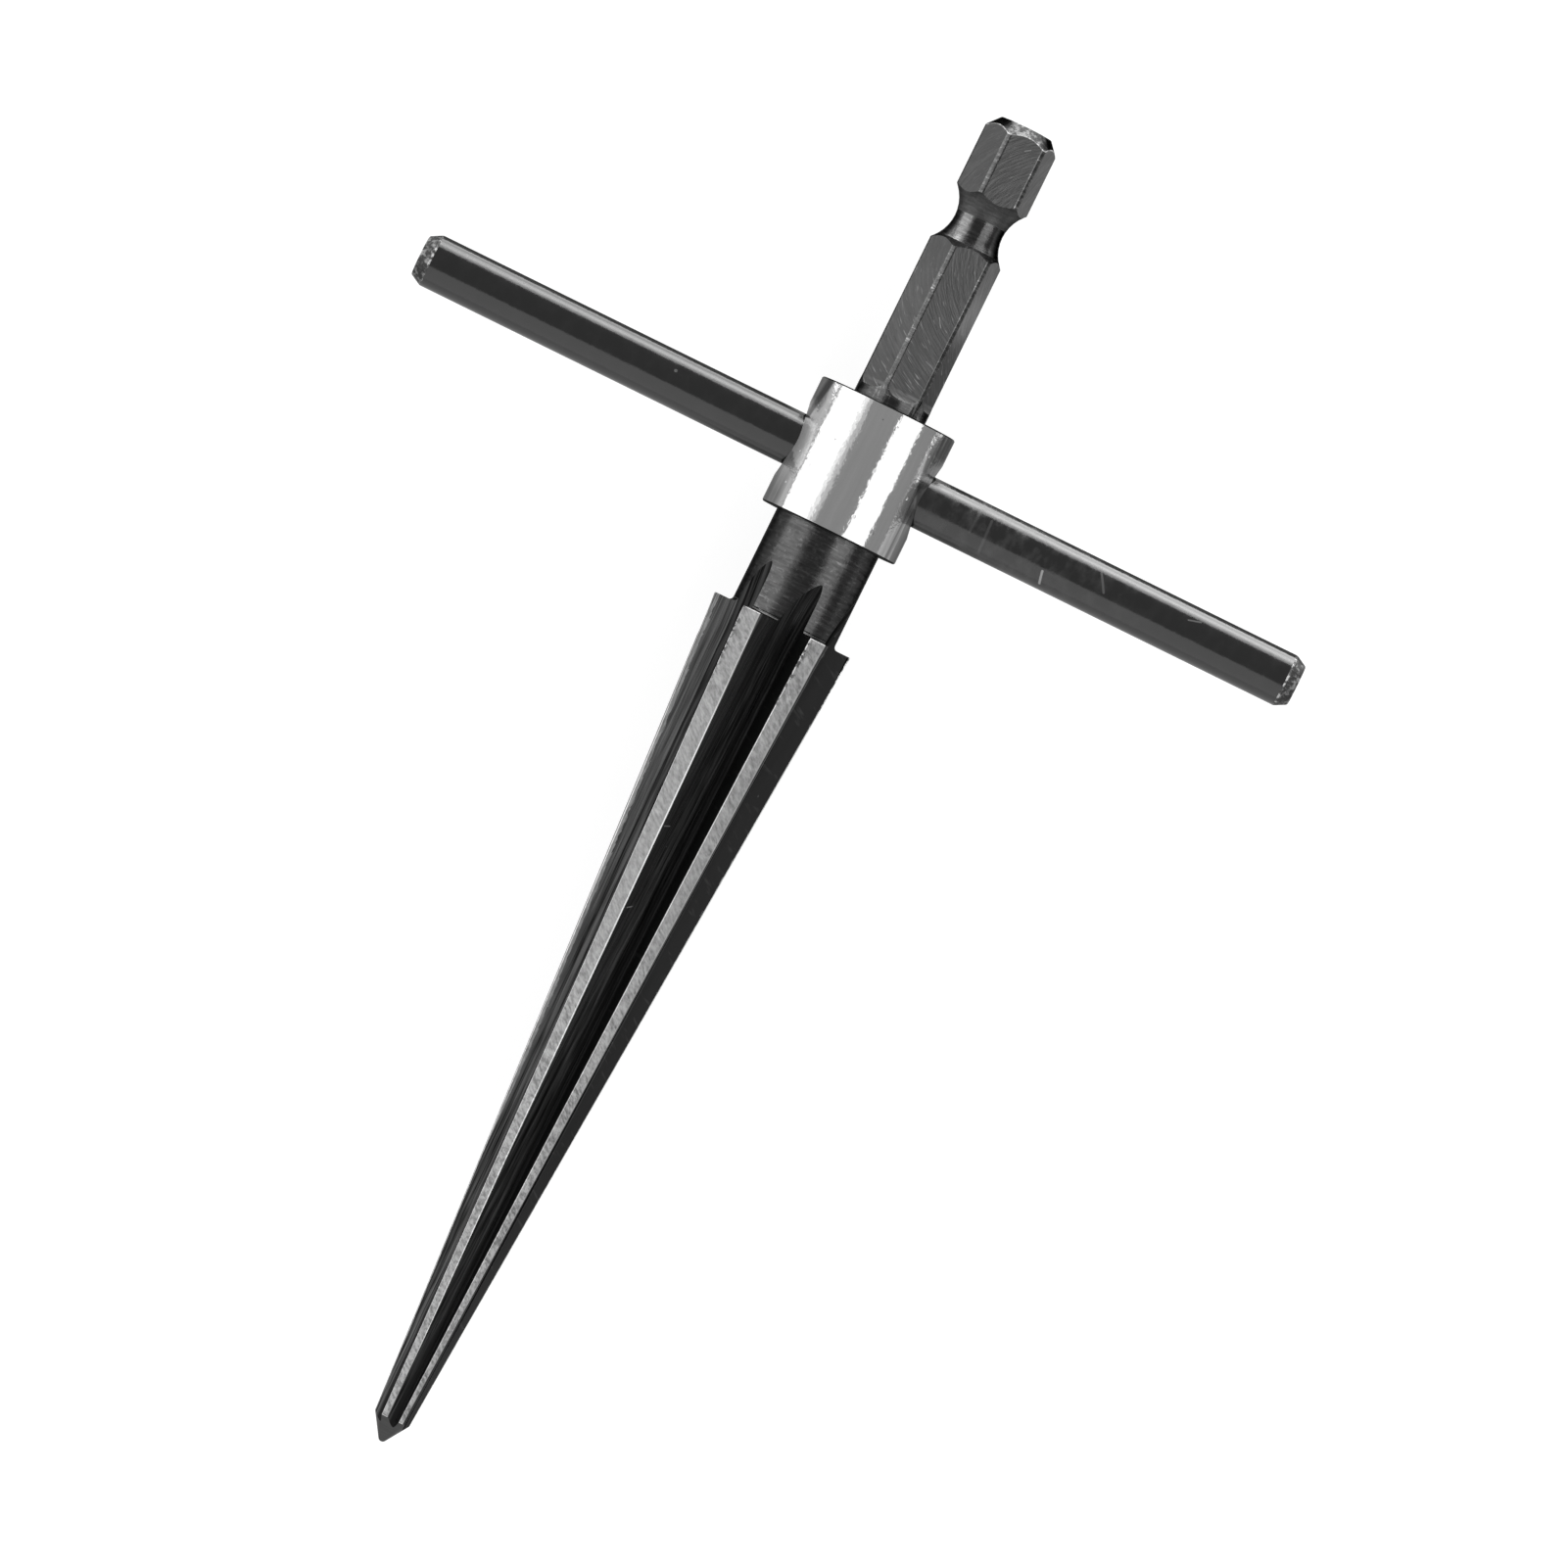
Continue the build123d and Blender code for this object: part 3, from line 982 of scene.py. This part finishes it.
def softbox(name, angle_from, angle_to, glow, distance, length, over="side", shift=0.0):
    """A soft panel that fills the angles between two directions, counted from straight up.

    Over the side, positive angles are to the tool's right. Over the end, they are toward the shank.
    A shift moves a panel over the side along the tool, toward the shank.
    """
    middle = radians((angle_from + angle_to) / 2)
    half = radians(abs(angle_to - angle_from) / 2)
    if over == "side":
        outward = Vector((sin(middle), 0, cos(middle)))
        width_way = Vector((cos(middle), 0, -sin(middle)))
    else:
        outward = Vector((0, sin(middle), cos(middle)))
        width_way = Vector((0, cos(middle), -sin(middle)))
    turn = Matrix((width_way, outward.cross(width_way), outward)).transposed()
    place = outward * distance + Vector((0, shift, AXIS_HEIGHT * MM))
    soft_panel(name, glow, 2 * distance * tan(half), length, place, turn)


def studio_lights():
    """Long softboxes beside the tool, fading at their upper edge on the left, and over its ends.

    Two small cards stand behind the bar, level with it, and light its edge toward the shank.
    """
    for name, angle_from, angle_to, glow in (
        ("left_softbox", -40, -90, 1.5),
        ("left_fade", -34, -40, 0.95),
        ("left_glow", -26, -34, 0.38),
        ("right_softbox", 23.3, 62, 1.5),
    ):
        softbox(name, angle_from, angle_to, glow, distance=0.6, length=1.4, shift=0.4)
    softbox("shank_strip", 79, 90, glow=3.7, distance=0.6, length=0.9, over="end")
    softbox("shank_fade", 70, 79, glow=2.0, distance=0.6, length=0.9, over="end")
    softbox("point_fill", -24, -90, glow=0.5, distance=0.8, length=2.0, over="end")

    toward_bar = Matrix.Rotation(radians(-90), 3, "X")
    for name, aside, glow in (("left_card", -0.028, 1.8), ("right_card", 0.028, 3.1)):
        place = Vector((aside, 0.0384, 0.00685))
        soft_panel(name, glow, width=0.042, length=0.0037, place=place, turn=toward_bar)

    place = Vector((0.55, -0.65, 0.4))
    toward_tool = place.to_track_quat("Z", "Y").to_matrix()
    fill = soft_panel("right_fill", 1.3, width=0.7, length=0.7, place=place, turn=toward_tool)
    fill.visible_glossy = False

    world = bpy.data.worlds.new("dim_studio")
    world.use_nodes = True
    dim_white = {"Color": (1, 1, 1, 1), "Strength": 0.24}
    fill_inputs(world.node_tree, world.node_tree.nodes["Background"], dim_white)
    bpy.context.scene.world = world


def pale_floor():
    """A wide pale floor: white to the camera, seen in metal too, and it keeps the tool's shadow.

    What metal sees of it has a painted pool of light beside the shank, behind the bar, and a
    brighter one past the shank's end. It has painted shade beside the neck, and a painted shadow of
    the bar where it is seen steeply.
    """
    bpy.ops.object.select_all(action="DESELECT")
    bpy.ops.mesh.primitive_circle_add(vertices=96, radius=6.0, fill_type="NGON", location=(0, 0, 0))
    floor = bpy.context.object
    floor.name = "floor"
    material = bpy.data.materials.new("pale_floor")
    material.use_nodes = True
    tree = material.node_tree
    tree.nodes.clear()
    across, along, _ = place_from(tree, 0, 0, 0)
    aside = maths(tree, "ABSOLUTE", across)
    layer = add_node(tree, "ShaderNodeLayerWeight", {"Blend": 0.5})
    steepness = minus(tree, 1.0, layer.outputs["Facing"])

    # Painted pools of light and painted shade on the floor, which only metal sees
    light_pool_beside_shank = product(
        tree,
        between(tree, aside, 7.0, 11.0, 47.0, 52.0),
        between(tree, along, 39.0, 40.5, 49.0, 52.0),
        ramp(tree, aside, 12.0, 22.0, 0.6, 0.75),
    )
    light_pool_past_shank = product(tree, ramp(tree, along, 78.0, 88.0), ramp(tree, aside, 60.0, 45.0))
    shade_by_neck = product(
        tree, between(tree, along, 12.0, 17.0, 30.0, 38.0), ramp(tree, aside, 18.0, 11.0)
    )
    # A painted shadow of the bar on the floor, where metal sees it steeply
    painted_shading_by_bar = product(
        tree,
        between(tree, along, 35.0, 36.0, 46.0, 47.5),
        ramp(tree, aside, 7.0, 8.5),
        ramp(tree, steepness, 0.3, 0.45),
    )
    plain_level = 0.5
    level = total(
        tree,
        plain_level,
        product(tree, shade_by_neck, -0.3),
        light_pool_beside_shank,
        product(tree, light_pool_past_shank, 1.7),
    )
    level = product(tree, level, ramp(tree, painted_shading_by_bar, 0, 1, 1.0, 0.1))

    past_ends = maths(tree, "MAXIMUM", light_pool_past_shank, ramp(tree, along, -50.0, -100.0))
    seen = maths(tree, "MAXIMUM", ramp(tree, steepness, 0.0, 0.08), past_ends)
    rays = add_node(tree, "ShaderNodeLightPath", {}).outputs
    mirrored = maths(tree, "MAXIMUM", rays["Is Glossy Ray"], rays["Is Transmission Ray"])
    in_metal = product(tree, mirrored, seen, level)
    white_with_lamps = 0.86
    to_camera = product(tree, rays["Is Camera Ray"], white_with_lamps)
    glow = add_node(
        tree, "ShaderNodeEmission", {"Strength": maths(tree, "MAXIMUM", to_camera, in_metal)}
    )
    grey_for_shadow, grey_in_metal = 0.26, 0.08
    grey = grey_mix(tree, mirrored, grey_for_shadow, grey_in_metal)
    matte = add_node(tree, "ShaderNodeBsdfDiffuse", {"Color": grey})
    both = add_node(tree, "ShaderNodeAddShader", {0: matte.outputs[0], 1: glow.outputs[0]})
    add_node(tree, "ShaderNodeOutputMaterial", {"Surface": both.outputs[0]})
    floor.data.materials.append(material)


def photo_camera():
    """The camera straight over the tool, framed as in the photograph."""
    data = bpy.data.cameras.new("photo_camera")
    data.sensor_width = SENSOR_WIDTH
    data.lens = SENSOR_WIDTH * (CAMERA_HEIGHT - AXIS_HEIGHT) / VIEW_WIDTH
    data.clip_start, data.clip_end = 0.01, 20.0
    camera = bpy.data.objects.new("photo_camera", data)
    camera.location = (VIEW_CENTRE[0] * MM, VIEW_CENTRE[1] * MM, CAMERA_HEIGHT * MM)
    camera.rotation_euler = (0, 0, VIEW_LEAN)
    bpy.context.scene.collection.objects.link(camera)
    bpy.context.scene.camera = camera


photo_camera()
studio_lights()
pale_floor()
finished_body()
finished_bar()
finished_collar()
bpy.ops.object.select_all(action="DESELECT")

bpy.context.scene.view_settings.view_transform = "Standard"
